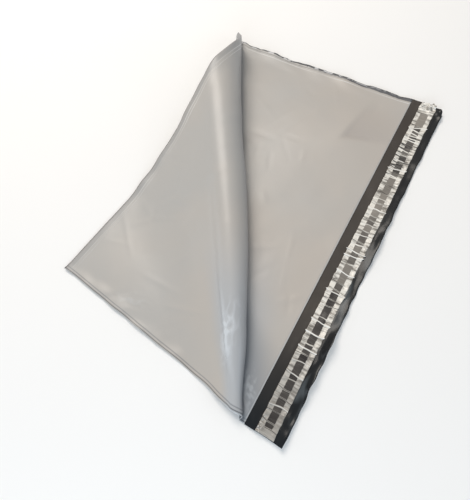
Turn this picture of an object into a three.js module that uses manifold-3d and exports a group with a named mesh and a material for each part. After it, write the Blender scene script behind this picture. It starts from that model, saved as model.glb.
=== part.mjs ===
// Poly mailer bag: a flat mailing bag of polythene film with a self-seal flap, lying loose.
// Millimetres, +Z up. The bag's width runs along Y, and its mouth and flap are at +X.
//
// One web of film makes the whole bag. It is folded once at the bottom, welded along both
// sides and left open at the mouth, and its back wall runs on past the mouth as the flap.
// The flap carries a line of adhesive under a peel-off liner.
//
// The bag isn't quite flat: a soft pleat crosses it from the front end of the mouth to the
// far end of the bottom. Every fold line of the pleat runs through one apex just outside
// the front seam, so the pleat is a cone, and the film bends without stretching.

import * as THREE from 'three';
import { mergeVertices } from 'three/addons/utils/BufferGeometryUtils.js';
import Module from 'manifold-3d';

const wasm = await Module();
wasm.setup();

// ---- driving dimensions ----

const BAG_WIDTH = 430;          // side seam to side seam
const BAG_LENGTH = 270;         // bottom fold to mouth
const FLAP_LENGTH = 40;         // mouth to flap end
const WALL = 0.45;              // one wall, film and the air caught against it
const POCKET_GAP = 0.3;         // between the two walls
const SIDE_SEAM = 6;            // width of each side weld
const JOINT_GAP = 0.3;          // clearance between touching pieces

const LINER_FROM_MOUTH = 11.5;  // mouth to the liner's near edge
const LINER_WIDTH = 19;
const LINER_THICK = 0.3;
const ADHESIVE_WIDTH = 10;
const ADHESIVE_THICK = 0.3;
const STRIP_END_MARGIN = 4;     // adhesive stops short of the flap's ends
const LINER_END_MARGIN = 1;     // and the liner almost reaches them

// The pleat. Its sizes are angles at the apex, so that it tapers to nothing towards it.
const DEG = Math.PI / 180;
const CREST_FRONT_X = 266;      // where the crest line meets the front seam
const CREST_AZIMUTH = 60.3 * DEG;  // from the front seam, seen from above
const APEX_DISTANCE = 80;       // front seam to apex, along the crest line
const VALLEY_RADIUS = 0.7 * DEG;   // bend where the film turns up and back
const MIDDLE_LAYER = 0.2 * DEG;    // straight film between that bend and the crest
const CREST_RADIUS = 3.3 * DEG;    // rounded bend on top
const MIDDLE_SLOPE = 55 * DEG;     // the straight film leans back over the flat part by this much
const OUTER_SLOPE = 26 * DEG;      // and the film beyond the crest comes down by this much
const FOOT_RADIUS = 30 * DEG;      // easing of that film back onto the floor
const STEPS = { valley: 9, middle: 1, crest: 14, descent: 1, foot: 7 };

// ---- values that follow ----

const BAG_THICK = 2 * WALL + POCKET_GAP;
const APEX = {
  x: CREST_FRONT_X + APEX_DISTANCE * Math.cos(CREST_AZIMUTH),
  y: -APEX_DISTANCE * Math.sin(CREST_AZIMUTH),
};

// ---- the pleat's cross-section, on a sphere of radius 1 about the apex ----

// Five stretches, from the flat right-hand part towards the front seam. Each has a length
// and a curvature; the heading is 0 along the floor and positive upwards.
function pleatStretches() {
  const drop = VALLEY_RADIUS * (1 + Math.cos(MIDDLE_SLOPE))
    + MIDDLE_LAYER * Math.sin(MIDDLE_SLOPE)
    + CREST_RADIUS * (Math.cos(OUTER_SLOPE) + Math.cos(MIDDLE_SLOPE))
    - FOOT_RADIUS * (1 - Math.cos(OUTER_SLOPE));
  const valleyTurn = Math.PI - MIDDLE_SLOPE;
  const crestTurn = Math.PI - MIDDLE_SLOPE + OUTER_SLOPE;
  return [
    { length: VALLEY_RADIUS * valleyTurn, curvature: 1 / VALLEY_RADIUS, steps: STEPS.valley },
    { length: MIDDLE_LAYER, curvature: 0, steps: STEPS.middle },
    { length: CREST_RADIUS * crestTurn, curvature: -1 / CREST_RADIUS, steps: STEPS.crest },
    { length: drop / Math.sin(OUTER_SLOPE), curvature: 0, steps: STEPS.descent },
    { length: FOOT_RADIUS * OUTER_SLOPE, curvature: 1 / FOOT_RADIUS, steps: STEPS.foot },
  ];
}

// The state after going a given way along one stretch of constant curvature.
function advance(from, curvature, length) {
  const heading = from.heading + curvature * length;
  const across = curvature === 0
    ? length * Math.cos(heading)
    : (Math.sin(heading) - Math.sin(from.heading)) / curvature;
  const up = curvature === 0
    ? length * Math.sin(heading)
    : (Math.cos(from.heading) - Math.cos(heading)) / curvature;
  return { arc: from.arc + length, across: from.across + across, up: from.up + up, heading };
}

function pleatProfile() {
  let state = { arc: 0, across: 0, up: 0, heading: 0 };
  const points = [state];
  for (const { length, curvature, steps } of pleatStretches()) {
    for (let step = 1; step <= steps; step += 1) {
      points.push(advance(state, curvature, (length * step) / steps));
    }
    state = points[points.length - 1];
  }
  return points;
}

const PROFILE = pleatProfile();
const PLEAT_END = PROFILE[PROFILE.length - 1];
const CREST_REACH = MIDDLE_LAYER * Math.cos(MIDDLE_SLOPE)
  + CREST_RADIUS * (1 - Math.sin(MIDDLE_SLOPE))
  - VALLEY_RADIUS * Math.sin(MIDDLE_SLOPE);
const VALLEY_AZIMUTH = CREST_AZIMUTH - CREST_REACH;

// The profile's state for one line of film, given by its angle in the flat pattern.
function profileAt(filmAngle) {
  const arc = VALLEY_AZIMUTH - filmAngle;
  if (arc <= 0) {
    return { across: arc, up: 0, heading: 0 };
  }
  if (arc >= PLEAT_END.arc) {
    return { across: PLEAT_END.across + arc - PLEAT_END.arc, up: 0, heading: 0 };
  }
  const next = PROFILE.findIndex((point) => point.arc >= arc);
  const from = PROFILE[next - 1];
  const to = PROFILE[next];
  const share = (arc - from.arc) / (to.arc - from.arc);
  const blend = (key) => from[key] + share * (to[key] - from[key]);
  return { across: blend('across'), up: blend('up'), heading: blend('heading') };
}

// A point of the flat pattern, at a polar place about the apex and a height in the bag's
// thickness, laid where the pleat takes it.
function layFilm(filmAngle, radius, height) {
  const { across, up, heading } = profileAt(filmAngle);
  const azimuth = VALLEY_AZIMUTH - across;
  const line = new THREE.Vector3(
    -Math.cos(up) * Math.cos(azimuth),
    Math.cos(up) * Math.sin(azimuth),
    Math.sin(up),
  );
  const sideways = new THREE.Vector3(Math.sin(azimuth), Math.cos(azimuth), 0);
  const upwards = new THREE.Vector3(
    Math.sin(up) * Math.cos(azimuth),
    -Math.sin(up) * Math.sin(azimuth),
    Math.cos(up),
  );
  const normal = upwards.multiplyScalar(Math.cos(heading))
    .add(sideways.multiplyScalar(Math.sin(heading)));
  const middle = BAG_THICK / 2;
  return new THREE.Vector3(APEX.x, APEX.y, middle)
    .addScaledVector(line, radius)
    .addScaledVector(normal, height - middle);
}

// ---- slabs of film ----

// Where a line of film from the apex enters and leaves a rectangle of the flat pattern.
function crossRectangle(filmAngle, rect) {
  const way = { x: -Math.cos(filmAngle), y: Math.sin(filmAngle) };
  let enter = 0;
  let leave = Infinity;
  for (const axis of ['x', 'y']) {
    if (Math.abs(way[axis]) > 1e-12) {
      const ends = [rect.low[axis], rect.high[axis]].map((side) => (side - APEX[axis]) / way[axis]);
      enter = Math.max(enter, Math.min(...ends));
      leave = Math.min(leave, Math.max(...ends));
    }
  }
  return { enter, leave: Math.max(enter, leave) };
}

// The lines of film that a slab's surface is ruled by: the pleat's own, and one through
// each corner of the rectangle.
function rulingAngles(rect) {
  const corners = [rect.low.x, rect.high.x].flatMap((x) => [rect.low.y, rect.high.y]
    .map((y) => Math.atan2(y - APEX.y, APEX.x - x)));
  const least = Math.min(...corners);
  const most = Math.max(...corners);
  const folds = PROFILE.map((point) => VALLEY_AZIMUTH - point.arc);
  const inside = folds.filter((angle) => angle > least && angle < most);
  return [...corners, ...inside].sort((a, b) => a - b);
}

// A closed solid from points and quads, with shared points merged and empty triangles
// dropped.
function solidFromQuads(points, quads) {
  const loose = new THREE.BufferGeometry();
  const flat = points.flatMap((point) => point.toArray());
  loose.setAttribute('position', new THREE.Float32BufferAttribute(flat, 3));
  loose.setIndex(quads.flatMap(([a, b, c, d]) => [a, b, c, a, c, d]));
  return toSolid(loose);
}

function toSolid(geometry) {
  const bare = geometry.clone();
  bare.deleteAttribute('normal');
  bare.deleteAttribute('uv');
  const merged = mergeVertices(bare, 1e-4);
  const index = merged.index.array;
  const kept = [];
  for (let corner = 0; corner < index.length; corner += 3) {
    const [a, b, c] = index.slice(corner, corner + 3);
    if (a !== b && b !== c && c !== a) {
      kept.push(a, b, c);
    }
  }
  const mesh = new wasm.Mesh({
    numProp: 3,
    vertProperties: new Float32Array(merged.attributes.position.array),
    triVerts: new Uint32Array(kept),
  });
  return new wasm.Manifold(mesh);
}

function toGeometry(solid) {
  const mesh = solid.getMesh();
  const geometry = new THREE.BufferGeometry();
  geometry.setAttribute('position', new THREE.BufferAttribute(mesh.vertProperties, 3));
  geometry.setIndex(new THREE.BufferAttribute(mesh.triVerts, 1));
  geometry.computeVertexNormals();
  return geometry;
}

// A rectangle of the flat pattern as a slab between two heights, bent along the pleat.
function filmSlab(rect, bottom, top) {
  const points = [];
  const quads = [];
  rulingAngles(rect).forEach((angle, line) => {
    const { enter, leave } = crossRectangle(angle, rect);
    points.push(
      layFilm(angle, enter, top),
      layFilm(angle, leave, top),
      layFilm(angle, leave, bottom),
      layFilm(angle, enter, bottom),
    );
    if (line > 0) {
      const here = 4 * line;
      const before = here - 4;
      for (let side = 0; side < 4; side += 1) {
        const next = (side + 1) % 4;
        quads.push([before + side, here + side, here + next, before + next]);
      }
    }
  });
  return solidFromQuads(points, quads);
}

function boxSolid(low, high) {
  const size = high.map((value, axis) => value - low[axis]);
  const box = new THREE.BoxGeometry(...size);
  box.translate(...low.map((value, axis) => value + size[axis] / 2));
  return toSolid(box);
}

// ---- the pieces ----

// The web of film: both walls, the bottom fold, the side welds and the flap. The pocket is
// open at the mouth, and past it only the back wall goes on.
function bagBody() {
  const web = filmSlab(
    { low: { x: 0, y: 0 }, high: { x: BAG_LENGTH + FLAP_LENGTH, y: BAG_WIDTH } },
    0,
    BAG_THICK,
  );
  const pocket = filmSlab(
    {
      low: { x: WALL, y: SIDE_SEAM },
      high: { x: BAG_LENGTH + 1, y: BAG_WIDTH - SIDE_SEAM },
    },
    WALL,
    WALL + POCKET_GAP,
  );
  const aboveFlap = boxSolid(
    [BAG_LENGTH, -1, WALL],
    [BAG_LENGTH + FLAP_LENGTH + 1, BAG_WIDTH + 1, BAG_THICK + 1],
  );
  return toGeometry(web.subtract(pocket).subtract(aboveFlap));
}

// A straight strip lying on the flap, centred on the liner's line.
function flapStrip(width, endMargin, bottom, thick) {
  const centre = BAG_LENGTH + LINER_FROM_MOUTH + LINER_WIDTH / 2;
  const outline = new THREE.Shape();
  outline.moveTo(centre - width / 2, endMargin);
  outline.lineTo(centre + width / 2, endMargin);
  outline.lineTo(centre + width / 2, BAG_WIDTH - endMargin);
  outline.lineTo(centre - width / 2, BAG_WIDTH - endMargin);
  outline.closePath();
  const strip = new THREE.ExtrudeGeometry(outline, { depth: thick, bevelEnabled: false });
  strip.translate(0, 0, bottom);
  return strip;
}

const adhesiveBottom = WALL + JOINT_GAP;
const linerBottom = adhesiveBottom + ADHESIVE_THICK + JOINT_GAP;

const greyFilm = new THREE.MeshStandardMaterial({
  color: 0x9a9c9f, roughness: 0.42, metalness: 0, side: THREE.DoubleSide,
});
const clearAdhesive = new THREE.MeshStandardMaterial({
  color: 0x2a2826, roughness: 0.25, metalness: 0,
});
const silveryLiner = new THREE.MeshStandardMaterial({
  color: 0xd5d4d0, roughness: 0.35, metalness: 0,
});

const body = bagBody();
body.computeBoundingBox();
const footprint = body.boundingBox.getCenter(new THREE.Vector3());

const group = new THREE.Group();

// Every piece is set down with the middle of the bag's footprint at the origin.
function addPiece(name, geometry, material) {
  const mesh = new THREE.Mesh(geometry, material);
  mesh.name = name;
  mesh.position.set(-footprint.x, -footprint.y, 0);
  group.add(mesh);
}

addPiece('bag_body', body, greyFilm);
addPiece(
  'adhesive_strip',
  flapStrip(ADHESIVE_WIDTH, STRIP_END_MARGIN, adhesiveBottom, ADHESIVE_THICK),
  clearAdhesive,
);
addPiece(
  'release_liner',
  flapStrip(LINER_WIDTH, LINER_END_MARGIN, linerBottom, LINER_THICK),
  silveryLiner,
);

export default group;
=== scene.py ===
import math

import bpy
import numpy as np
from mathutils import Matrix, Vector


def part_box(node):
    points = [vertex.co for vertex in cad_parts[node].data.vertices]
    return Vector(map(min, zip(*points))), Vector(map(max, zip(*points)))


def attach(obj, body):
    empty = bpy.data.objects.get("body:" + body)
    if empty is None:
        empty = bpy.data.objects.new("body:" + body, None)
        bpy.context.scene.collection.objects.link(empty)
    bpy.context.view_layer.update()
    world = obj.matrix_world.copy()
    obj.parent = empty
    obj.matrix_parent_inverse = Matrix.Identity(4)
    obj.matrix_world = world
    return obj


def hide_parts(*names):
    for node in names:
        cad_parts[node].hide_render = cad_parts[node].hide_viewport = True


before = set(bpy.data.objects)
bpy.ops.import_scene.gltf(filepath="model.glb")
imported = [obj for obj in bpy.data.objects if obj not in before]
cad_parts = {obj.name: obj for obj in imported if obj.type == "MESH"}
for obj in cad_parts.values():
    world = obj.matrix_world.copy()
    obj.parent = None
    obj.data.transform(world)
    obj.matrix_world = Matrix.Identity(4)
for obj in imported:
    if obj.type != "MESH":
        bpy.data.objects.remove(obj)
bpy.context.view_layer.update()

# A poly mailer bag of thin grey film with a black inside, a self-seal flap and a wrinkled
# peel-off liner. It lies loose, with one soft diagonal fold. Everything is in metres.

MM = 0.001
DEG = math.pi / 180

# ---- sizes ----

# The flat pattern's origin is the near end of the bottom fold: x runs to the mouth and the
# flap, y along the width.
FLAP_LENGTH = 40 * MM
BAG_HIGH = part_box("bag_body")[1]
LINER_LOW, LINER_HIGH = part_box("release_liner")
ADHESIVE_LOW, ADHESIVE_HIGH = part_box("adhesive_strip")
BAG_WIDTH = 430 * MM
BAG_LENGTH = 270 * MM
FLAT_END = BAG_LENGTH + FLAP_LENGTH
LINER_END_MARGIN = 1 * MM       # the liner stops this far inside the flap's ends
PATTERN_X = BAG_HIGH[0] - FLAT_END
PATTERN_Y = LINER_LOW[1] - LINER_END_MARGIN

FILM_THICK = 0.14 * MM
STRIP_THICK = 0.08 * MM         # of the liner and the adhesive
SIDE_WELD = 6 * MM
WELD_LINE = 4.5 * MM            # the weld's pressed line, from the cut edge
BACK_WALL_HEIGHT = 0.2 * MM     # middle of the back wall's film above the floor
WALLS_APART = 0.5 * MM          # least distance between the walls' middles
BULGE = 8 * MM                  # fullness of the crest's overhanging side
CORNER_ROUND = 15 * MM          # wear of the flap's far corner

# The diagonal fold. It is a cone: its sizes are angles at an apex outside the front seam.
MID_HEIGHT = 0.6 * MM           # height of the cone's film above the floor
CREST_FRONT_X = 266 * MM
CREST_AZIMUTH = 60.3 * DEG
APEX_DISTANCE = 80 * MM
VALLEY_RADIUS = 0.7 * DEG
MIDDLE_LAYER = 0.2 * DEG
CREST_RADIUS = 3.3 * DEG
MIDDLE_SLOPE = 55 * DEG
OUTER_SLOPE = 26 * DEG
FOOT_RADIUS = 30 * DEG
APEX_X = CREST_FRONT_X + APEX_DISTANCE * math.cos(CREST_AZIMUTH)
APEX_Y = -APEX_DISTANCE * math.sin(CREST_AZIMUTH)
CREST_REACH = (MIDDLE_LAYER * math.cos(MIDDLE_SLOPE)
               + CREST_RADIUS * (1 - math.sin(MIDDLE_SLOPE))
               - VALLEY_RADIUS * math.sin(MIDDLE_SLOPE))
VALLEY_AZIMUTH = CREST_AZIMUTH - CREST_REACH
TURN_END = VALLEY_RADIUS * (math.pi - MIDDLE_SLOPE) + MIDDLE_LAYER   # where the crest begins


# ---- camera ----

CAMERA_PLACE = (284.5 * MM, 33.5 * MM, 389.2 * MM)   # in the flat pattern, above the floor
CAMERA_HEADING = -43.87 * DEG
CAMERA_DOWN = 67.57 * DEG
CAMERA_ROLL = -14.83 * DEG
LENS_MM = 26.94
SENSOR_MM = 36
NEAREST_SEEN = 10 * MM


def make_camera():
    """Looks down on the bag: turned by its heading, tilted down, then rolled."""
    ahead = np.array([math.sin(CAMERA_HEADING) * math.cos(CAMERA_DOWN),
                      math.cos(CAMERA_HEADING) * math.cos(CAMERA_DOWN),
                      -math.sin(CAMERA_DOWN)])
    level = np.array([math.cos(CAMERA_HEADING), -math.sin(CAMERA_HEADING), 0])
    upright = np.cross(level, ahead)
    right = math.cos(CAMERA_ROLL) * level + math.sin(CAMERA_ROLL) * upright
    up = math.cos(CAMERA_ROLL) * upright - math.sin(CAMERA_ROLL) * level
    data = bpy.data.cameras.new("camera")
    data.lens = LENS_MM
    data.sensor_width = SENSOR_MM
    data.clip_start = NEAREST_SEEN
    camera = bpy.data.objects.new("camera", data)
    bpy.context.collection.objects.link(camera)
    turn = Matrix([list(row) for row in zip(right, up, -ahead)]).to_4x4()
    x, y, z = CAMERA_PLACE
    camera.matrix_world = Matrix.Translation((PATTERN_X + x, PATTERN_Y + y, z)) @ turn
    bpy.context.scene.camera = camera


make_camera()


# ---- the fold ----

def fold_stretches():
    """Length and curvature of the fold's five stretches, across the film: the inner turn,
    the straight middle layer, the crest, the straight outer side and the foot. The outer
    side is as long as its slope needs to come down by what the curves leave of the height."""
    drop = (VALLEY_RADIUS * (1 + math.cos(MIDDLE_SLOPE))
            + MIDDLE_LAYER * math.sin(MIDDLE_SLOPE)
            + CREST_RADIUS * (math.cos(OUTER_SLOPE) + math.cos(MIDDLE_SLOPE))
            - FOOT_RADIUS * (1 - math.cos(OUTER_SLOPE)))
    return [
        (VALLEY_RADIUS * (math.pi - MIDDLE_SLOPE), 1 / VALLEY_RADIUS),
        (MIDDLE_LAYER, 0.0),
        (CREST_RADIUS * (math.pi - MIDDLE_SLOPE + OUTER_SLOPE), -1 / CREST_RADIUS),
        (drop / math.sin(OUTER_SLOPE), 0.0),
        (FOOT_RADIUS * OUTER_SLOPE, 1 / FOOT_RADIUS),
    ]


def fold_section(arc):
    """Where a line of film lies, from its arc past the fold's start. Each stretch is a
    circle's arc or a straight: the heading grows by curvature times length, and the place
    is the integral of the heading's cosine (across) and sine (up)."""
    across = np.where(arc < 0, arc, 0.0)
    up = np.zeros_like(arc)
    heading = np.zeros_like(arc)
    start, at_across, at_up, at_heading = 0.0, 0.0, 0.0, 0.0
    for length, curvature in fold_stretches() + [(math.inf, 0.0)]:
        inside = arc >= start
        run = np.clip(arc - start, 0, length)
        turned = at_heading + curvature * run
        if curvature:
            step = (np.sin(turned) - math.sin(at_heading)) / curvature
            rise = (math.cos(at_heading) - np.cos(turned)) / curvature
        else:
            step = run * math.cos(at_heading)
            rise = run * math.sin(at_heading)
        across = np.where(inside, at_across + step, across)
        up = np.where(inside, at_up + rise, up)
        heading = np.where(inside, turned, heading)
        if math.isinf(length):
            break
        end = at_heading + curvature * length
        if curvature:
            at_across += (math.sin(end) - math.sin(at_heading)) / curvature
            at_up += (math.cos(at_heading) - math.cos(end)) / curvature
        else:
            at_across += length * math.cos(at_heading)
            at_up += length * math.sin(at_heading)
        at_heading = end
        start += length
    return across, up, heading


def fold_place(x, y):
    """A flat-pattern point's distance from the fold's apex, and its arc past the fold's
    start: how far its angle at the apex is short of the valley's."""
    angle = np.arctan2(y - APEX_Y, APEX_X - x)
    return np.hypot(x - APEX_X, y - APEX_Y), VALLEY_AZIMUTH - angle


def lay_film(x, y, lift):
    """The flat pattern laid out as the bag lies. A point keeps its distance from the apex,
    its line turns with the fold's section, and lift is along the film's normal."""
    radius, arc = fold_place(x, y)
    across, up, heading = fold_section(arc)
    azimuth = VALLEY_AZIMUTH - across
    line = np.stack([-np.cos(up) * np.cos(azimuth), np.cos(up) * np.sin(azimuth), np.sin(up)], -1)
    sideways = np.stack([np.sin(azimuth), np.cos(azimuth), np.zeros_like(azimuth)], -1)
    upwards = np.stack([np.sin(up) * np.cos(azimuth), -np.sin(up) * np.sin(azimuth), np.cos(up)], -1)
    normal = upwards * np.cos(heading)[..., None] + sideways * np.sin(heading)[..., None]
    apex = np.array([PATTERN_X + APEX_X, PATTERN_Y + APEX_Y, MID_HEIGHT])
    return apex + line * radius[..., None] + normal * (lift - MID_HEIGHT)[..., None]


# ---- relief of the film, as heights over the flat pattern ----

def smooth_step(value, low, high):
    """0 below low, 1 above high, and a smooth cubic between."""
    share = np.clip((value - low) / (high - low), 0, 1)
    return share * share * (3 - 2 * share)


def soft_noise(x, y, wavelength, seed, stretch=1.0, turn=0.0, waves=14):
    """A sum of plane waves with random directions and phases, divided by the root of their
    number. stretch makes the waves longer along the direction turn."""
    random = np.random.default_rng(seed)
    along = x * math.cos(turn) + y * math.sin(turn)
    beside = y * math.cos(turn) - x * math.sin(turn)
    total = np.zeros_like(x)
    for _ in range(waves):
        way = random.uniform(0, 2 * math.pi)
        pace = 2 * math.pi / wavelength * random.uniform(0.6, 1.5)
        shift = random.uniform(0, 2 * math.pi)
        total += np.cos(pace * (math.cos(way) * along / stretch + math.sin(way) * beside) + shift)
    return total / math.sqrt(waves)


def crease(x, y, start, end, width, height):
    """A soft ridge along a straight line in the film: a bell across it, fading at its ends."""
    (x0, y0), (x1, y1) = start, end
    length = math.hypot(x1 - x0, y1 - y0)
    way_x, way_y = (x1 - x0) / length, (y1 - y0) / length
    along = (x - x0) * way_x + (y - y0) * way_y
    beside = (y - y0) * way_x - (x - x0) * way_y
    fade = np.clip(along / length, 0, 1) * np.clip(1 - along / length, 0, 1) * 4
    return height * fade * np.exp(-(beside / width) ** 2)


def random_creases(x, y, count, seed, area, length, width, height):
    """Creases at random places and directions in an area of the flat pattern."""
    random = np.random.default_rng(seed)
    (low_x, high_x), (low_y, high_y) = area
    total = np.zeros_like(x)
    for _ in range(count):
        middle_x = random.uniform(low_x, high_x)
        middle_y = random.uniform(low_y, high_y)
        way = random.uniform(0, math.pi)
        half = random.uniform(*length) / 2
        start = (middle_x - half * math.cos(way), middle_y - half * math.sin(way))
        end = (middle_x + half * math.cos(way), middle_y + half * math.sin(way))
        tall = random.uniform(*height) * random.choice([-1, 1])
        total += crease(x, y, start, end, random.uniform(*width), tall)
    return total


def soft_limit(value, limit):
    """The lesser of the two, with a rounded corner."""
    round_off = 0.1 * MM
    return (value + limit - np.hypot(value - limit, round_off)) / 2


def valley_room(x, y):
    """How high the film may be lifted: less than the radius of the fold's inner turn, more
    beside it as the two sides part, and soon without limit (a straight rise, and then one
    with the square of the distance)."""
    radius, arc = fold_place(x, y)
    outside = np.maximum(np.maximum(-arc, arc - TURN_END), 0) * radius
    parted = 0.42 * outside + np.maximum(outside - 4 * MM, 0) ** 2 / (2 * MM)
    return MID_HEIGHT + 0.6 * VALLEY_RADIUS * radius + parted


def flap_share(x):
    """0 on the bag, rising to 1 at the flap's end."""
    return smooth_step(x, BAG_LENGTH - 6 * MM, FLAT_END)


def pucker(x, y):
    """Small ripples that run in from the side welds, where the heat has shrunk the film:
    waves along the weld, with their height fading inwards."""
    far_fade = np.exp(-((BAG_WIDTH - y) / (9 * MM)) ** 2)
    front_fade = np.exp(-(y / (7 * MM)) ** 2)
    far = far_fade * soft_noise(x, y * 0, 10 * MM, 43)
    front = front_fade * soft_noise(x, y * 0, 10 * MM, 45)
    return 0.3 * MM * (1 + far) * far_fade + 0.2 * MM * (1 + front) * front_fade


def flap_relief(x, y):
    """Lift of the flap: loose waves, a free edge that curls up most near its front third,
    a crumpled far corner, and dents that grow towards the front, most beside the liner."""
    flap = flap_share(x)
    waves = 1.1 * MM * (1 + soft_noise(x, y, 60 * MM, 13, stretch=2, turn=0))
    crinkle = 0.14 * MM * soft_noise(x, y, 14 * MM, 15)
    edge = smooth_step(x, FLAT_END - 11 * MM, FLAT_END)
    curl_places = (np.exp(-((y - 85 * MM) / (45 * MM)) ** 2)
                   + 0.6 * np.exp(-((y - 225 * MM) / (16 * MM)) ** 2))
    uneven = 1 + 0.4 * soft_noise(x * 0, y, 55 * MM, 47)
    curl = edge ** 2 * (1.2 * MM + 3.2 * MM * curl_places) * uneven
    from_far = BAG_WIDTH - y
    corner = smooth_step(-from_far, -26 * MM, 0) * smooth_step(x, BAG_LENGTH + 6 * MM, FLAT_END)
    crumple = corner * (1.5 * MM * (1 + soft_noise(x, y, 13 * MM, 49))
                        + 0.5 * MM * soft_noise(x, y, 6 * MM, 51))
    under_liner = BAG_LENGTH + 0.54 * FLAP_LENGTH
    beside_liner = smooth_step(np.abs(x - under_liner), 9 * MM, 13 * MM)
    front_end = smooth_step(-y, -130 * MM, -20 * MM) * flap
    dents = front_end * 0.2 * MM * (1 + soft_noise(x, y, 16 * MM, 53, stretch=3.5, turn=90 * DEG))
    dents += front_end * beside_liner * 0.75 * MM * (1 + soft_noise(
        x, y, 10 * MM, 54, stretch=3.6, turn=86 * DEG))
    return flap * (waves + crinkle) + np.maximum(curl, 0) + crumple + dents


def crinkle_patch(x, y, middle, half_long, half_wide, turn, wavelength, seed):
    """Sharp little ridges in an oval of the film: 1 less the size of a noise, cut to its
    top part, and fading out towards the oval's edge."""
    along = (x - middle[0]) * math.cos(turn) + (y - middle[1]) * math.sin(turn)
    beside = (y - middle[1]) * math.cos(turn) - (x - middle[0]) * math.sin(turn)
    inside = np.exp(-(along / half_long) ** 2 - (beside / half_wide) ** 2)
    ridges = 1 - np.abs(soft_noise(x, y, wavelength, seed, stretch=2.2, turn=turn)) * 1.5
    return inside * (0.2 + 0.8 * np.maximum(ridges, 0))


def fold_crinkles(x, y):
    """Where the film has been pulled and stressed: beside the crest near its front end and along its
    edge there, in the bend beside that, and on the front seam. The grey film's material also paints
    white highlights there and makes it glossier."""
    crest_way = 118 * DEG
    beside_crest = crinkle_patch(x, y, (202 * MM, 56 * MM), 27 * MM, 6 * MM, crest_way, 8 * MM, 55)
    in_bend = crinkle_patch(x, y, (258 * MM, 32 * MM), 22 * MM, 7 * MM, crest_way, 7 * MM, 57)
    at_seam = crinkle_patch(x, y, (92 * MM, 20 * MM), 30 * MM, 13 * MM, 25 * DEG, 11 * MM, 58)
    crest_edge = crease(x, y, (160 * MM, 101 * MM), (240 * MM, 14 * MM), 2.2 * MM, 0.4)
    return beside_crest + 0.55 * in_bend + 0.3 * at_seam + crest_edge


def crest_bulge(x, y):
    """Lift that makes the rolled crest fuller than a true cone, most in its front half: full
    on its upper overhanging side, fading past the top and towards both ends."""
    radius, arc = fold_place(x, y)
    side = TURN_END + CREST_RADIUS * (math.pi / 2 - MIDDLE_SLOPE)
    around = (smooth_step(arc, TURN_END, side + 0.5 * CREST_RADIUS)
              * smooth_step(-arc, -side - 2.6 * CREST_RADIUS, -side - 0.9 * CREST_RADIUS))
    along = smooth_step(radius, 84 * MM, 165 * MM) * smooth_step(-radius, -520 * MM, -260 * MM)
    return BULGE * around * along


def fold_shade_share(x, y):
    """How strong the painted shade round the fold is, dark and bluish, 0 to 1: on the crest's
    overhanging side, and widest and strongest in the bend beside it near the front seam."""
    radius, arc = fold_place(x, y)
    front = smooth_step(-radius, -215 * MM, -115 * MM)
    reach = (4 + 32 * front) * MM
    flat_side = np.exp(-(np.minimum(arc, 0) * radius / reach) ** 2)
    crest_side = smooth_step(-arc, -TURN_END - 2.0 * CREST_RADIUS, -TURN_END - 0.6 * CREST_RADIUS)
    return flat_side * crest_side * (0.7 + 0.3 * front)


def crest_reflection_share(x, y):
    """Where a cool reflection is painted onto the film, 0 to 1: over the front third of the rolled
    crest."""
    radius, arc = fold_place(x, y)
    over = smooth_step(-arc, -TURN_END - 4.6 * CREST_RADIUS, -TURN_END - 2.6 * CREST_RADIUS)
    return over * smooth_step(arc, -16 * DEG, 0) * smooth_step(-radius, -300 * MM, -170 * MM)


def mouth_facet(x, y):
    """A three-cornered facet at the mouth, near its far end, which the film's material paints with
    shade: 0 outside and 1 inside two creases that meet at a corner and run to the mouth and the far
    seam."""
    corner_x, corner_y = 212 * MM, 334 * MM
    to_mouth, to_seam = 17 * DEG, 82 * DEG
    east, north = x - corner_x, y - corner_y
    above = north * math.cos(to_mouth) - east * math.sin(to_mouth)
    beside = east * math.sin(to_seam) - north * math.cos(to_seam)
    inside = smooth_step(np.minimum(above, beside), -1 * MM, 7 * MM)
    fading = np.exp(-(np.hypot(east, north) / (62 * MM)) ** 2)
    return inside * fading * smooth_step(-y, -BAG_WIDTH + 8 * MM, -BAG_WIDTH + 45 * MM)


# Creases that stand out: start, end, width and height. The first five are on the flat part,
# the next is drawn along the crest's front end, and the last three make a star by the bottom.
STRONG_CREASES = [
    ((184 * MM, 157 * MM), (216 * MM, 176 * MM), 2.0 * MM, 0.7 * MM),
    ((188 * MM, 168 * MM), (204 * MM, 150 * MM), 1.8 * MM, 0.45 * MM),
    ((220 * MM, 198 * MM), (262 * MM, 213 * MM), 2.5 * MM, -0.6 * MM),
    ((240 * MM, 118 * MM), (268 * MM, 140 * MM), 2.8 * MM, 0.6 * MM),
    ((246 * MM, 144 * MM), (259 * MM, 108 * MM), 2.4 * MM, -0.5 * MM),
    ((150 * MM, 112 * MM), (240 * MM, 14 * MM), 3.2 * MM, 1.1 * MM),
    ((26 * MM, 84 * MM), (56 * MM, 118 * MM), 2.6 * MM, 0.4 * MM),
    ((52 * MM, 92 * MM), (34 * MM, 128 * MM), 2.6 * MM, -0.35 * MM),
    ((44 * MM, 106 * MM), (92 * MM, 132 * MM), 2.2 * MM, 0.3 * MM),
]


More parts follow.
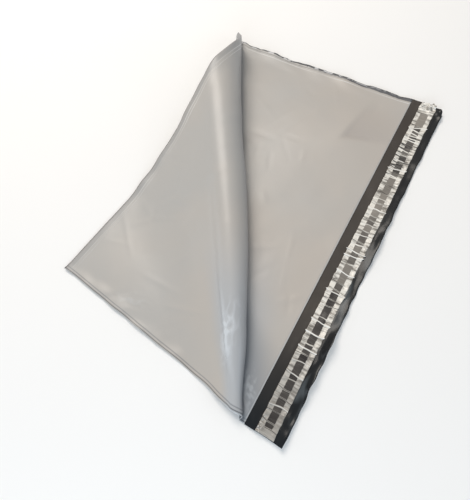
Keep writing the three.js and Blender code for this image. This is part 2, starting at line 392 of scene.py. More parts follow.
def relief(x, y):
    """Height of both walls above a film that lies dead flat: slow swells, faint creases,
    wavy seams with puckered welds, and a loose flap."""
    swell = 0.8 * MM * (1 + soft_noise(x, y, 150 * MM, 3))
    small = 0.1 * MM * soft_noise(x, y, 46 * MM, 5, stretch=2.2, turn=1.1)
    near_far_seam = smooth_step(y, BAG_WIDTH - 24 * MM, BAG_WIDTH)
    far_wave = 1.0 * MM * near_far_seam * (1 + soft_noise(x, y, 52 * MM, 7))
    near_front_seam = smooth_step(-y, -18 * MM, 0)
    front_wave = 0.6 * MM * near_front_seam * (1 + soft_noise(x, y, 38 * MM, 9))
    near_bottom = smooth_step(-x, -22 * MM, 0)
    bottom_wave = 0.8 * MM * near_bottom * (1 + soft_noise(x, y, 44 * MM, 11))
    creases = random_creases(
        x, y, 60, 17, ((10 * MM, 262 * MM), (10 * MM, 420 * MM)),
        (15 * MM, 80 * MM), (1.6 * MM, 3.6 * MM), (0.1 * MM, 0.5 * MM))
    at_facet = np.exp(-((x - 226 * MM) / (34 * MM)) ** 2 - ((y - 356 * MM) / (40 * MM)) ** 2)
    round_facet = 1.5 * MM * at_facet * (1 - mouth_facet(x, y))
    for start, end, wide, tall in STRONG_CREASES:
        creases += crease(x, y, start, end, wide, tall)
    total = (swell + small + far_wave + front_wave + bottom_wave + creases + round_facet
             + pucker(x, y) + 0.6 * MM * fold_crinkles(x, y) + crest_bulge(x, y))
    return np.maximum(total, 0) + flap_relief(x, y)


def trimmed_outline(x, y):
    """The flat pattern with its true outline: seams a little uneven, with small nicks where
    the hot knife has pulled the film, and the flap's far corner worn round. The corner is a
    square drawn onto a quarter of a disc: each distance from its start is made shorter by
    the root of 1 less half the other's square."""
    far = smooth_step(y, BAG_WIDTH - 12 * MM, BAG_WIDTH)
    random = np.random.default_rng(59)
    nicks = np.zeros_like(x)
    for _ in range(16):
        place = random.uniform(8 * MM, BAG_LENGTH)
        wide = random.uniform(2.2, 4.0) * MM
        nicks += random.uniform(0.3, 0.8) * MM * np.exp(-((x - place) / wide) ** 2)
    y = y - far * (0.35 * MM * (1 + soft_noise(x, y * 0, 34 * MM, 61)) + nicks)
    front = smooth_step(-y, -10 * MM, 0)
    y = y + front * 0.3 * MM * (1 + soft_noise(x, y * 0, 40 * MM, 63))
    start_x = FLAT_END - CORNER_ROUND
    start_y = BAG_WIDTH - CORNER_ROUND
    beyond_x = np.clip((x - start_x) / CORNER_ROUND, 0, 1)
    beyond_y = np.clip((y - start_y) / CORNER_ROUND, 0, 1)
    squeeze_x = beyond_x * np.sqrt(1 - beyond_y ** 2 / 2)
    squeeze_y = beyond_y * np.sqrt(1 - beyond_x ** 2 / 2)
    x = np.where(beyond_x > 0, start_x + CORNER_ROUND * squeeze_x, x)
    y = np.where(beyond_y > 0, start_y + CORNER_ROUND * squeeze_y, y)
    edge = smooth_step(x, FLAT_END - 12 * MM, FLAT_END)
    return x + edge * 0.6 * MM * soft_noise(x * 0, y, 28 * MM, 65), y


def walls_gap(x, y):
    """Distance between the walls: least along the welds and the bottom fold, with a little
    air caught between them inside, and less of it towards the mouth."""
    from_side = np.minimum(y, BAG_WIDTH - y)
    inside = smooth_step(from_side, SIDE_WELD, 60 * MM) * smooth_step(x, 0, 50 * MM)
    to_mouth = 1 - 0.75 * smooth_step(x, BAG_LENGTH - 60 * MM, BAG_LENGTH)
    air = 1.3 * MM * (1 + 0.5 * soft_noise(x, y, 120 * MM, 21))
    return WALLS_APART + np.maximum(inside * to_mouth * air, 0)


# ---- meshes ----

def spaced_lines(low, high, count, pace):
    """count + 1 places from low to high, closer together where pace is greater."""
    fine = np.linspace(low, high, 4000)
    total = np.concatenate([[0], np.cumsum((pace(fine)[1:] + pace(fine)[:-1]) / 2)])
    return np.interp(np.linspace(0, total[-1], count + 1), total, fine)


def grid_piece(name, points, pattern, materials):
    """A mesh of rows by columns of points, with the flat pattern as its UV map. Its faces
    point up where rows run towards -x and columns towards +y."""
    rows, columns = points.shape[:2]
    index = np.arange(rows * columns).reshape(rows, columns)
    faces = np.stack([index[:-1, :-1], index[:-1, 1:], index[1:, 1:], index[1:, :-1]], -1)
    faces = faces.reshape(-1, 4)
    mesh = bpy.data.meshes.new(name)
    mesh.from_pydata(points.reshape(-1, 3).tolist(), [], faces.tolist())
    layer = mesh.uv_layers.new(name="film")
    layer.uv.foreach_set("vector", pattern.reshape(-1, 2)[faces.ravel()].ravel().astype(np.float32))
    mesh.polygons.foreach_set("use_smooth", np.ones(len(faces), bool))
    for material in materials:
        mesh.materials.append(material)
    piece = bpy.data.objects.new(name, mesh)
    bpy.context.collection.objects.link(piece)
    return piece


def thicken(piece, thickness, inner_material=0):
    """Gives a sheet its thickness on its inner side."""
    solid = piece.modifiers.new("thickness", "SOLIDIFY")
    solid.thickness = thickness
    solid.offset = -1
    solid.use_even_offset = False
    solid.material_offset = inner_material
    solid.material_offset_rim = 0


def store_value(piece, name, values):
    """Stores one number for each point, which the piece's material reads."""
    attribute = piece.data.attributes.new(name, "FLOAT", "POINT")
    attribute.data.foreach_set("value", values.ravel().astype(np.float32))


# ---- materials ----

class Finish:
    """A node material with short ways to add its nodes."""

    def __init__(self, name):
        self.material = bpy.data.materials.new(name)
        self.material.use_nodes = True
        self.tree = self.material.node_tree
        self.tree.nodes.clear()
        self.shader = self.add("ShaderNodeBsdfPrincipled")
        output = self.add("ShaderNodeOutputMaterial")
        self.link(self.shader, "BSDF", output, "Surface")
        self.place = self.add("ShaderNodeTexCoord")

    def add(self, kind, **settings):
        """A new node with its settings."""
        node = self.tree.nodes.new(kind)
        for key, value in settings.items():
            setattr(node, key, value)
        return node

    def link(self, source, out, target, into):
        """Joins an output to an input, each given by name or number."""
        self.tree.links.new(source.outputs[out], target.inputs[into])

    def noise(self, scale, detail=2.0, roughness=0.5, kind="FBM", stretch=(1, 1, 1), turn=0.0):
        """Noise over the piece's Object coordinates. A stretch under 1 makes its grains
        longer along that axis."""
        mapping = self.add("ShaderNodeMapping")
        mapping.inputs["Scale"].default_value = stretch
        mapping.inputs["Rotation"].default_value = (0, 0, turn)
        self.link(self.place, "Object", mapping, "Vector")
        noise = self.add("ShaderNodeTexNoise", noise_type=kind)
        noise.inputs["Scale"].default_value = scale
        noise.inputs["Detail"].default_value = detail
        noise.inputs["Roughness"].default_value = roughness
        self.link(mapping, "Vector", noise, "Vector")
        return noise

    def spread(self, source, out, low, high, from_low=0.0, from_high=1.0):
        """Maps a range of values to low and high, held at its ends."""
        node = self.add("ShaderNodeMapRange")
        node.inputs["From Min"].default_value = from_low
        node.inputs["From Max"].default_value = from_high
        node.inputs["To Min"].default_value = low
        node.inputs["To Max"].default_value = high
        self.link(source, out, node, "Value")
        return node

    def blend(self, factor, factor_out, first, second):
        """Goes from one colour to another by a factor."""
        node = self.add("ShaderNodeMix", data_type="RGBA")
        node.inputs[6].default_value = (*first, 1)
        node.inputs[7].default_value = (*second, 1)
        self.link(factor, factor_out, node, 0)
        return node

    def base_colour(self, node):
        """Gives the shader a mixed colour."""
        self.link(node, 2, self.shader, "Base Color")

    def attribute(self, name):
        """One of the piece's stored numbers."""
        return self.add("ShaderNodeAttribute", attribute_name=name)

    def times(self, first, second):
        """The product of the first outputs of two nodes."""
        return self.maths("MULTIPLY", (first, 0), (second, 0))

    def paint(self, under, under_out, factor, factor_out, colour):
        """Lays a colour over another by a factor."""
        node = self.add("ShaderNodeMix", data_type="RGBA")
        node.inputs[7].default_value = (*colour, 1)
        self.link(factor, factor_out, node, 0)
        self.link(under, under_out, node, 6)
        return node

    def maths(self, operation, *values):
        """A maths node: each value is a number or a node with its output."""
        node = self.add("ShaderNodeMath", operation=operation)
        for slot, value in enumerate(values):
            if isinstance(value, tuple):
                self.link(*value, node, slot)
            else:
                node.inputs[slot].default_value = value
        return node

    def band(self, source, out, middle, half_width):
        """1 on a line, falling to 0 at its half width."""
        away = self.maths("ABSOLUTE", (self.maths("SUBTRACT", (source, out), middle), 0))
        return self.spread(away, 0, 1, 0, 0, half_width)

    def larger(self, first, second):
        """The larger of the first outputs of two nodes."""
        return self.maths("MAXIMUM", (first, 0), (second, 0))

    def bump(self, source, out, distance, after=None):
        """Fine relief of a given height, on top of an earlier one."""
        node = self.add("ShaderNodeBump")
        node.inputs["Distance"].default_value = distance
        node.inputs["Strength"].default_value = 1
        self.link(source, out, node, "Height")
        if after is not None:
            self.link(after, "Normal", node, "Normal")
        return node


def pattern_axes(finish):
    """The flat pattern's x and y in metres, from the piece's UV map."""
    film = finish.add("ShaderNodeUVMap", uv_map="film")
    axes = finish.add("ShaderNodeSeparateXYZ")
    finish.link(film, "UV", axes, "Vector")
    return axes


def grey_film():
    """The outside: satin grey film, a little uneven in tone and gloss, with lines along the welds and
    the bottom fold, soft dents and fine crinkles. Light and shade painted onto it: a warm reflection
    towards the mouth, a cool reflection on the crest's front, bluish shade round the fold, shade on a
    facet by the mouth and along the bottom fold's edge, a highlight on the mouth's cut edge, glints
    along the seams, and white highlights on the crinkles."""
    finish = Finish("grey_film")
    shader = finish.shader
    axes = pattern_axes(finish)
    patchy = finish.spread(finish.noise(7, detail=3), "Fac", -0.25, 0.55, 0.35, 0.65)
    # Towards the mouth the tone is painted warmer: a painted warm reflection on the flat part. The rest
    # of the tone varies at random.
    warm_reflection = finish.spread(axes, "X", 0, 0.6, 60 * MM, 250 * MM)
    tone = finish.maths("ADD", (patchy, "Result"), (warm_reflection, "Result"))
    colour = finish.blend(tone, 0, (0.437, 0.418, 0.393), (0.485, 0.438, 0.39))
    # Painted cool reflection over the front third of the rolled crest.
    crest_reflection = finish.spread(finish.attribute("crest_reflection"), "Fac", 0, 0.75)
    crest_reflected = finish.paint(colour, 2, crest_reflection, "Result", (0.41, 0.43, 0.455))
    # Painted shade, dark and bluish, in the fold's bend and on the crest's overhanging side.
    fold_shade = finish.spread(finish.attribute("fold_shade"), "Fac", 0, 0.9)
    fold_shaded = finish.paint(crest_reflected, 2, fold_shade, "Result", (0.215, 0.23, 0.25))
    # Painted shade on the facet by the mouth.
    facet_shade = finish.spread(finish.attribute("facet_shade"), "Fac", 0, 0.32)
    facet_shaded = finish.paint(fold_shaded, 2, facet_shade, "Result", (0.27, 0.24, 0.23))
    # A thin painted highlight along the mouth's cut edge.
    mouth_edge_highlight = finish.spread(axes, "X", 0, 0.4, BAG_LENGTH - 1.4 * MM, BAG_LENGTH - 1 * MM)
    edge_highlighted = finish.paint(facet_shaded, 2, mouth_edge_highlight, "Result", (0.7, 0.68, 0.66))
    weld = finish.larger(finish.band(axes, "Y", BAG_WIDTH - WELD_LINE, 0.9 * MM),
                         finish.band(axes, "Y", WELD_LINE, 0.9 * MM))
    welded = finish.paint(edge_highlighted, 2, finish.spread(weld, 0, 0, 0.7), "Result", (0.13, 0.135, 0.15))
    # Painted shade along the bottom fold's rounded edge.
    at_bottom = finish.spread(axes, "X", 0.45, 0, 5 * MM, 8 * MM)
    bottom_shaded = finish.paint(welded, 2, at_bottom, "Result", (0.27, 0.27, 0.275))
    ragged = finish.spread(finish.noise(120, detail=3), "Fac", -1.6 * MM, 1.6 * MM)
    wider = finish.spread(axes, "X", 0, 3.2 * MM, 60 * MM, 230 * MM)
    shift = finish.maths("ADD", (ragged, "Result"), (wider, "Result"))
    inward = finish.maths("ADD", (axes, "Y"), (shift, 0))
    dark = finish.larger(finish.band(axes, "Y", 1.7 * MM, 0.9 * MM),
                         finish.spread(inward, 0, 0, 1, BAG_WIDTH - 1.9 * MM, BAG_WIDTH - 1.2 * MM))
    rimmed = finish.paint(bottom_shaded, 2, finish.spread(dark, 0, 0, 0.85), "Result", (0.045, 0.05, 0.062))
    # Painted glints: spots along the far seam's edge, most away from the mouth, and a pale line on the
    # front seam's cut edge.
    glint_spots = finish.spread(finish.noise(150, detail=2), "Fac", 0, 1, 0.52, 0.57)
    far_edge = finish.band(axes, "Y", BAG_WIDTH - 1.3 * MM, 1.7 * MM)
    away_from_mouth = finish.spread(axes, "X", 1, 0.25, 120 * MM, 240 * MM)
    far_edge_glint = finish.times(finish.times(far_edge, glint_spots), away_from_mouth)
    seam_glint = finish.larger(finish.spread(finish.band(axes, "Y", 0, 1.1 * MM), 0, 0, 0.45), far_edge_glint)
    seam_glint_share = finish.spread(seam_glint, 0, 0, 0.9, 0.1, 0.6)
    glinted = finish.paint(rimmed, 2, seam_glint_share, "Result", (0.7, 0.7, 0.71))
    by_bottom = finish.larger(finish.band(axes, "X", 7 * MM, 0.6 * MM),
                              finish.band(axes, "X", 10.5 * MM, 0.5 * MM))
    fold_lines = finish.larger(by_bottom, finish.band(axes, "Y", BAG_WIDTH - 8 * MM, 0.8 * MM))
    kept = finish.spread(finish.noise(14), "Fac", 0.15, 0.8, 0.4, 0.6)
    lined = finish.paint(glinted, 2, finish.times(fold_lines, kept), 0, (0.75, 0.75, 0.74))
    # Painted white highlights on the crinkles beside the crest and along its front edge; the same field
    # makes them glossier.
    crinkle_highlight_and_gloss = finish.attribute("crinkle_highlight_and_gloss")
    white_and_glint = finish.paint(lined, 2, finish.spread(crinkle_highlight_and_gloss, "Fac", 0, 0.6, 0.1, 0.85), "Result",
                            (0.72, 0.75, 0.78))
    finish.base_colour(white_and_glint)
    satin = finish.spread(finish.noise(22, detail=3), "Fac", 0.36, 0.48)
    glossier = finish.spread(crinkle_highlight_and_gloss, "Fac", 1, 0.5, 0, 0.5)
    finish.link(finish.times(satin, glossier), 0, shader, "Roughness")
    shader.inputs["Coat Weight"].default_value = 0.12
    shader.inputs["Coat Roughness"].default_value = 0.27
    dents = finish.bump(finish.noise(20, detail=1.5), "Fac", 0.9 * MM)
    draw = finish.noise(60, detail=2, stretch=(1, 0.06, 1))
    lines = finish.bump(draw, "Fac", 0.03 * MM, after=dents)
    crinkle = finish.noise(60, detail=3, kind="RIDGED_MULTIFRACTAL")
    fine = finish.bump(crinkle, "Fac", 0.03 * MM, after=lines)
    groove = finish.bump(weld, 0, -0.15 * MM, after=fine)
    folds = finish.bump(fold_lines, 0, 0.15 * MM, after=groove)
    finish.link(folds, "Normal", shader, "Normal")
    finish.link(folds, "Normal", shader, "Coat Normal")
    return finish.material


def black_film():
    """The inside: glossy black film with fine crinkles, crumpled into facets on the front half of the
    flap's edge. Its brown tone is a painted warm reflection; towards the front seam and beyond the
    liner it is painted darker and bluer as shade, and the facets get painted pale reflections."""
    finish = Finish("black_film")
    shader = finish.shader
    axes = pattern_axes(finish)
    # The film is near black; its brown tone is a painted warm reflection, and it varies at random.
    tone = finish.noise(20, detail=3)
    brown = finish.blend(tone, "Fac", (0.05, 0.042, 0.036), (0.085, 0.073, 0.063))
    # Painted shade, dark and bluish, towards the front seam and on the flap's outer band.
    near_front = finish.spread(axes, "Y", 0.95, 0, 10 * MM, 130 * MM)
    front_shaded = finish.paint(brown, 2, near_front, "Result", (0.008, 0.011, 0.014))
    beyond = finish.spread(axes, "X", 0, 0.85, BAG_LENGTH + 27 * MM, BAG_LENGTH + 33 * MM)
    outer_shaded = finish.paint(front_shaded, 2, beyond, "Result", (0.01, 0.012, 0.014))
    facets = finish.noise(75, detail=1, stretch=(1, 0.4, 1), turn=-35 * DEG)
    front_half = finish.spread(axes, "Y", 1, 0, 150 * MM, 270 * MM)
    past_liner = finish.spread(axes, "X", 0, 1, BAG_LENGTH + 25 * MM, BAG_LENGTH + 32 * MM)
    crumpled = finish.times(front_half, past_liner)
    # Painted pale reflections on the crumpled facets.
    facet_reflection = finish.times(finish.spread(facets, "Fac", 0, 0.6, 0.5, 0.62), crumpled)
    finish.base_colour(finish.paint(outer_shaded, 2, facet_reflection, 0, (0.1, 0.115, 0.125)))
    shader.inputs["Specular IOR Level"].default_value = 0.28
    gloss = finish.spread(finish.noise(40, detail=3), "Fac", 0.16, 0.34)
    glossier = finish.spread(axes, "Y", 0.7, 1, 20 * MM, 130 * MM)
    finish.link(finish.times(gloss, glossier), 0, shader, "Roughness")
    dents = finish.bump(finish.noise(34, detail=1.5, stretch=(1, 0.3, 1)), "Fac", 0.25 * MM)
    crinkle = finish.noise(90, detail=3, kind="RIDGED_MULTIFRACTAL")
    fine = finish.bump(crinkle, "Fac", 0.04 * MM, after=dents)
    sharp = finish.bump(finish.times(facets, crumpled), 0, 2.2 * MM, after=fine)
    finish.link(sharp, "Normal", shader, "Normal")
    return finish.material


def adhesive_finish():
    """A clear tacky line, which looks dark and wet over the black film."""
    finish = Finish("adhesive")
    shader = finish.shader
    tone = finish.noise(120, detail=2)
    colour = finish.blend(tone, "Fac", (0.03, 0.026, 0.024), (0.06, 0.052, 0.048))
    finish.base_colour(colour)
    shader.inputs["Roughness"].default_value = 0.18
    beads = finish.bump(finish.noise(300, detail=2), "Fac", 0.1 * MM)
    finish.link(beads, "Normal", shader, "Normal")
    return finish.material


def liner_finish():
    """The peel-off liner: cream film with crosswise streaks, white on its wrinkles with painted glints
    on its curled front end, dark in its slits, and grey to dark brown where it sits tight on the
    adhesive."""
    finish = Finish("liner")
    shader = finish.shader
    streaks = finish.noise(330, detail=3, roughness=0.6, stretch=(0.16, 1, 1))
    cream = finish.blend(finish.spread(streaks, "Fac", 0, 1, 0.36, 0.56), "Result",
                         (0.2, 0.18, 0.155), (0.8, 0.76, 0.69))
    axes = pattern_axes(finish)
    clear = finish.spread(axes, "Y", 0.75, 0, 30 * MM, 130 * MM)
    pale = finish.paint(cream, 2, clear, "Result", (0.27, 0.25, 0.225))
    window = finish.spread(finish.attribute("tight"), "Fac", 0, 1, 0, 0.22 * MM)
    shade = finish.attribute("shade")
    patchy = finish.noise(420, detail=2, stretch=(0.3, 1, 1))
    brown = finish.blend(shade, "Fac", (0.3, 0.27, 0.235), (0.022, 0.018, 0.017))
    lighter = finish.spread(patchy, "Fac", 0, 0.5, 0.45, 0.8)
    where_grey = finish.spread(shade, "Fac", 1, 0.05)
    uneven = finish.paint(brown, 2, finish.times(lighter, where_grey), 0, (0.32, 0.29, 0.25))
    windowed = finish.add("ShaderNodeMix", data_type="RGBA")
    finish.link(window, "Result", windowed, 0)
    finish.link(pale, 2, windowed, 6)
    finish.link(uneven, 2, windowed, 7)
    # White on the wrinkle tops and the crumpled far end, and painted glints where the front end curls.
    ridge = finish.spread(finish.attribute("ridge"), "Fac", 0, 0.8, 0.35, 0.75)
    white_and_glint = finish.paint(windowed, 2, ridge, "Result", (0.92, 0.9, 0.86))
    slit = finish.spread(finish.attribute("slit"), "Fac", 0, 0.92, 0.35, 0.65)
    finish.base_colour(finish.paint(white_and_glint, 2, slit, "Result", (0.03, 0.026, 0.024)))
    finish.link(finish.spread(streaks, "Fac", 0.16, 0.36), "Result", shader, "Roughness")
    folds = finish.bump(finish.noise(170, detail=3, stretch=(0.3, 1, 1)), "Fac", 0.3 * MM)
    finish.link(folds, "Normal", shader, "Normal")
    return finish.material


# ---- the pieces ----

FRONT_ROWS = 152
BACK_ROWS = 112
FLAP_ROWS = 34
COLUMNS = 155
TURN_SHARE = 0.1                # of the rows, gathered over the fold's inner turn
CREST_SHARE = 0.16              # of the rows, gathered over its crest


def row_places(count, column_y):
    """Places of count + 1 rows from the bottom fold to the mouth, for each column. The rows
    are even, with two bells of closer ones along the fold's inner turn and its crest: the
    pace is summed along x, and the sum is read backwards at even steps."""
    x = np.linspace(0, BAG_LENGTH, 3000)
    turn, layer, crest = [length for length, _ in fold_stretches()[:3]]
    pace = np.full((len(x), len(column_y)), (1 - TURN_SHARE - CREST_SHARE) / BAG_LENGTH)
    for share, middle, half in [(TURN_SHARE, turn / 2, 0.75 * turn),
                                (CREST_SHARE, turn + layer + crest / 2, 0.5 * crest)]:
        angle = VALLEY_AZIMUTH - middle
        place = APEX_X - (column_y - APEX_Y) / math.tan(angle)
        wide = half * (column_y - APEX_Y) / math.sin(angle) ** 2
        bell = np.exp(-((x[:, None] - place) / wide) ** 2)
        pace += share / (wide * math.sqrt(math.pi)) * bell
    total = np.cumsum(pace, 0) - pace[0]
    even = np.linspace(0, 1, count + 1)
    return np.stack([np.interp(even * column[-1], column, x) for column in total.T], 1)


def column_pace(y):
    """Lines lie closer near the front seam, and a little near the far one."""
    return 1 + 2.2 * np.exp(-y / (45 * MM)) + 0.5 * np.exp(-(BAG_WIDTH - y) / (20 * MM))


def make_bag():
    """One web of film as a grid: its rows run from the mouth down the front wall, round the
    bottom fold and back along the back wall to the flap's end; its columns run from the
    front seam to the far one. Each point is laid with the fold and raised by the relief,
    and the front wall also by the gap between the walls."""
    column_y = spaced_lines(0, BAG_WIDTH, COLUMNS, column_pace)
    front_x = row_places(FRONT_ROWS, column_y)[:0:-1]
    bottom_x = np.zeros((1, len(column_y)))
    back_x = row_places(BACK_ROWS, column_y)[1:]
    flap_x = np.linspace(BAG_LENGTH, FLAT_END, FLAP_ROWS + 1)[1:, None] + bottom_x
    x = np.concatenate([front_x, bottom_x, back_x, flap_x])
    y = column_y + np.zeros_like(x)
    in_front = np.concatenate([np.ones(len(front_x)), [0.5], np.zeros(len(back_x) + len(flap_x))])
    in_front = in_front[:, None]
    lift = BACK_WALL_HEIGHT + relief(x, y) + in_front * walls_gap(x, y)
    # Round the fold's inner turn both walls stay within its radius, the back wall lower.
    lift = soft_limit(lift, valley_room(x, y) - WALLS_APART * (1 - in_front))
    points = lay_film(*trimmed_outline(x, y), lift)
    bag = grid_piece("bag_film", points, np.stack([x, y], -1), [grey_film(), black_film()])
    store_value(bag, "crinkle_highlight_and_gloss", fold_crinkles(x, y))
    store_value(bag, "fold_shade", fold_shade_share(x, y))
    store_value(bag, "crest_reflection", crest_reflection_share(x, y))
    store_value(bag, "facet_shade", mouth_facet(x, y))
    thicken(bag, FILM_THICK, inner_material=1)
    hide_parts("bag_body")
    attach(bag, "root")
    return bag


def flap_place(box_low, box_high):
    """A strip's edges in the flat pattern, from its box."""
    return (box_low[0] - PATTERN_X, box_high[0] - PATTERN_X,
            box_low[1] - PATTERN_Y, box_high[1] - PATTERN_Y)


ADHESIVE_ROWS = 11
ADHESIVE_COLUMNS = 300
ADHESIVE_LIFT = 0.1 * MM        # above the flap's film, under the bead


def make_adhesive():
    """The adhesive line: a low rounded bead along the flap."""
    low_x, high_x, low_y, high_y = flap_place(ADHESIVE_LOW, ADHESIVE_HIGH)
    across_x = np.linspace(high_x, low_x, ADHESIVE_ROWS)
    x, y = np.meshgrid(across_x, np.linspace(low_y, high_y, ADHESIVE_COLUMNS), indexing="ij")
    across = (x - low_x) / (high_x - low_x) * 2 - 1
    bead = 0.12 * MM * (1 - across ** 6)
    lift = BACK_WALL_HEIGHT + relief(x, y) + ADHESIVE_LIFT + bead
    strip = grid_piece("adhesive", lay_film(x, y, lift), np.stack([x, y], -1), [adhesive_finish()])
    thicken(strip, STRIP_THICK)
    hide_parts("adhesive_strip")
    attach(strip, "root")
    return strip


LINER_LIFT = 0.42 * MM          # liner's middle above the flap's film
LINER_ROWS = 25
LINER_COLUMNS = 1240
WINDOW_SHARE = 0.43             # of the liner's half width that sits tight on the adhesive
FIRST_CELL = 7 * MM             # from the liner's front end
FAR_PATCH_START = 38 * MM       # a smooth grey patch near the far end, from the liner's end
FAR_PATCH_END = 15 * MM


def liner_cells(length):
    """The liner's cells from its front end: the distance at which each ends, and how dark
    it is where it sits tight. The cells are long and dark at the front, greyer in the
    middle, and short and irregular towards the far end."""
    random = np.random.default_rng(71)
    cells = []
    place = FIRST_CELL
    while place < length - FAR_PATCH_START:
        share = place / length
        if share < 0.36:
            size = random.choice([3.0, 5.5, 8.0, 11.0, 14.0], p=[0.2, 0.2, 0.25, 0.2, 0.15])
            dark = random.uniform(0.85, 1.0)
        elif share < 0.72:
            size = random.choice([3.5, 6.0, 9.0, 12.0], p=[0.2, 0.3, 0.3, 0.2])
            dark = random.uniform(0.2, 0.75)
        else:
            size = random.choice([2.0, 3.2, 5.0], p=[0.4, 0.35, 0.25])
            dark = random.uniform(0.3, 1.0)
        place += size * MM
        cells.append((place, dark))
    cells.append((length - FAR_PATCH_END, 0.12))
    return cells


def lay_liner_cells(across, distance, length):
    """The fields of the liner's wrinkles over a grid: height; ridge, 1 on a wrinkle's top;
    slit, 1 in a dark slit; tab, how far its edge sticks out; tight, how far inside a
    window's outline in metres; and shade, how dark the window is."""
    random = np.random.default_rng(73)
    height = np.zeros_like(distance)
    ridge = np.zeros_like(distance)
    slit = np.zeros_like(distance)
    tab = np.zeros_like(distance)
    to_wrinkle = np.full_like(distance, 1.0)
    shade = np.zeros_like(distance)
    half_width = (LINER_HIGH[0] - LINER_LOW[0]) / 2
    before = FIRST_CELL
    for place, dark in [(before, 1.0)] + liner_cells(length):
        shade = np.where((distance > before) & (distance <= place), dark, shade)
        before = place
        wilder = smooth_step(place / length, 0.7, 0.78) * (place < length - FAR_PATCH_START)
        askew = random.uniform(-1.0, 1.0) * MM * (1 + 2.2 * wilder)
        bow = random.uniform(-0.8, 0.8) * MM
        wobble = 0.25 * MM * np.sin(across * random.uniform(3, 6) + random.uniform(0, 6))
        middle = place + askew * across + bow * across ** 2 + wobble
        away = distance - middle
        strong = random.random()
        width = (0.4 + 0.35 * strong) * MM
        bell = np.exp(-(away / width) ** 2)
        height += (0.25 + 0.8 * strong ** 2) * MM * bell * (0.5 + 0.5 * across ** 2)
        if strong > 0.35 + 0.15 * wilder:
            ridge = np.maximum(ridge, bell * strong)
        else:
            part = smooth_step(random.choice([-1, 1]) * across, -0.9, -0.2)
            slit_width = (0.34 + 0.45 * wilder) * MM
            slit = np.maximum(slit, np.exp(-(away / slit_width) ** 2) * part)
        if strong > 0.75:
            tab = np.maximum(tab, random.uniform(0.5, 1.5) * MM * np.exp(-(away / (0.9 * MM)) ** 2))
        to_wrinkle = np.minimum(to_wrinkle, np.abs(away) - random.uniform(0.35, 0.75) * MM)
    ragged = 0.18 * MM * soft_noise(across * 3 * MM, distance, 3 * MM, 75)
    wider = 0.08 * smooth_step(distance, length - 1.1 * FAR_PATCH_START, length - 0.8 * FAR_PATCH_START)
    to_side = (WINDOW_SHARE + wider - np.abs(across)) * half_width + ragged
    from_ends = np.minimum(distance - 6 * MM, length - FAR_PATCH_END - distance)
    tight = np.minimum(np.minimum(to_side, to_wrinkle), from_ends)
    return height, ridge, slit, tab, tight, shade


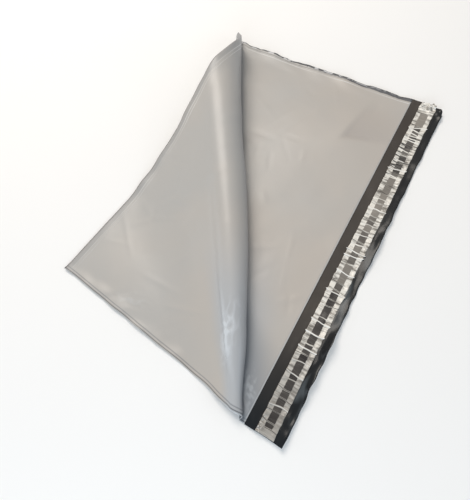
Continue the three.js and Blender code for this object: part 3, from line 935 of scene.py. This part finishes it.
def make_liner():
    """The peel-off liner: a strip with crosswise wrinkles, edges a little lifted, small
    tabs where a wrinkle reaches an edge, and crumpled ends."""
    low_x, high_x, low_y, high_y = flap_place(LINER_LOW, LINER_HIGH)
    length = high_y - low_y
    across_x = np.linspace(high_x, low_x, LINER_ROWS)
    x, y = np.meshgrid(across_x, np.linspace(low_y, high_y, LINER_COLUMNS), indexing="ij")
    across = (x - low_x) / (high_x - low_x) * 2 - 1
    distance = y - low_y
    ridges, ridge, slit, tab, tight, shade = lay_liner_cells(across, distance, length)
    edge = smooth_step(np.abs(across), 0.5, 1)
    lifted = 0.4 * MM * edge * (1 + soft_noise(x, y, 15 * MM, 33))
    loose = smooth_step(-tight, 0, 1 * MM)
    fine = 0.12 * MM * soft_noise(x, y, 4 * MM, 35, stretch=2.5, turn=0) * loose
    near_front = 1 - smooth_step(distance, 4 * MM, 34 * MM)
    near_far = smooth_step(distance, length - 15 * MM, length - 3 * MM)
    side = smooth_step(-across, 0.2, 0.9)
    crumple = (near_far * (1.2 * MM * (1 + soft_noise(x, y, 10 * MM, 37))
                           + 0.45 * MM * soft_noise(x, y, 4 * MM, 39))
               + near_front * side * 0.8 * MM * (1 + soft_noise(x, y, 5 * MM, 77)))
    torn = near_far ** 3 * (1 - np.abs(soft_noise(x, y, 5 * MM, 79)))
    # The curled front end's white lines are painted glints.
    curled = near_front * side * np.maximum(1 - np.abs(soft_noise(x, y, 4.5 * MM, 81)) * 1.6, 0)
    ridge = np.maximum(ridge, np.maximum(torn, curled))
    lift = (BACK_WALL_HEIGHT + relief(x, y) + LINER_LIFT + ridges + np.maximum(lifted, 0)
            + fine + np.maximum(crumple, 0))
    uneven = (0.22 * MM * soft_noise(x * 0, y, 9 * MM, 41)
              + 0.8 * MM * near_far * soft_noise(x * 0, y, 5 * MM, 83))
    ragged_end = 1.2 * MM * near_far ** 4 * soft_noise(x, y * 0, 6 * MM, 85)
    points = lay_film(x + (uneven + tab) * edge * np.sign(across), y + ragged_end, lift)
    liner = grid_piece("liner", points, np.stack([x, y], -1), [liner_finish()])
    store_value(liner, "tight", tight)
    store_value(liner, "shade", shade)
    store_value(liner, "ridge", ridge)
    store_value(liner, "slit", slit)
    thicken(liner, STRIP_THICK)
    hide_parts("release_liner")
    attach(liner, "root")
    return liner


# ---- floor and light ----

FLOOR_HALF = 3.0
FLOOR_HEIGHT = -0.05 * MM       # just under the bag, so that the two never share a plane


def make_floor():
    """A plain pale floor."""
    x, y = np.meshgrid([FLOOR_HALF, -FLOOR_HALF], [-FLOOR_HALF, FLOOR_HALF], indexing="ij")
    points = np.stack([x, y, np.full_like(x, FLOOR_HEIGHT)], -1)
    finish = Finish("floor")
    tone = finish.noise(2, detail=2)
    colour = finish.blend(tone, "Fac", (0.9, 0.89, 0.875), (0.93, 0.92, 0.905))
    finish.base_colour(colour)
    finish.shader.inputs["Roughness"].default_value = 0.8
    floor = grid_piece("floor", points, points[..., :2], [finish.material])


def make_light(name, place, size, power, colour):
    """A square soft light that faces the middle of the bag."""
    data = bpy.data.lights.new(name, "AREA")
    data.shape = "SQUARE"
    data.size = size
    data.energy = power
    data.color = colour
    light = bpy.data.objects.new(name, data)
    bpy.context.collection.objects.link(light)
    place = np.array(place, float)
    away = place / np.linalg.norm(place)
    right = np.cross([0, 1, 0], away)
    right /= np.linalg.norm(right)
    up = np.cross(away, right)
    turn = Matrix([list(row) for row in zip(right, up, away)]).to_4x4()
    light.matrix_world = Matrix.Translation(tuple(place)) @ turn


def make_world():
    """Even, slightly cool light from all round."""
    world = bpy.data.worlds.new("world")
    world.use_nodes = True
    background = world.node_tree.nodes["Background"]
    background.inputs["Color"].default_value = (0.93, 0.965, 1.0, 1)
    background.inputs["Strength"].default_value = 0.42
    bpy.context.scene.world = world


make_floor()
make_world()
make_light("key", (-0.7, 0.52, 1.3), 0.85, 16.5, (1.0, 0.93, 0.85))
make_light("fill", (0.3, -1.0, 0.4), 0.5, 4.5, (0.75, 0.88, 1.0))
make_light("side", (1.2, 0.1, 0.42), 0.6, 2, (0.75, 0.88, 1.0))
make_light("low", (-1.1, -0.45, 0.34), 0.5, 1.0, (0.85, 0.93, 1.0))
bpy.context.scene.view_settings.view_transform = "Standard"

make_bag()
make_adhesive()
make_liner()
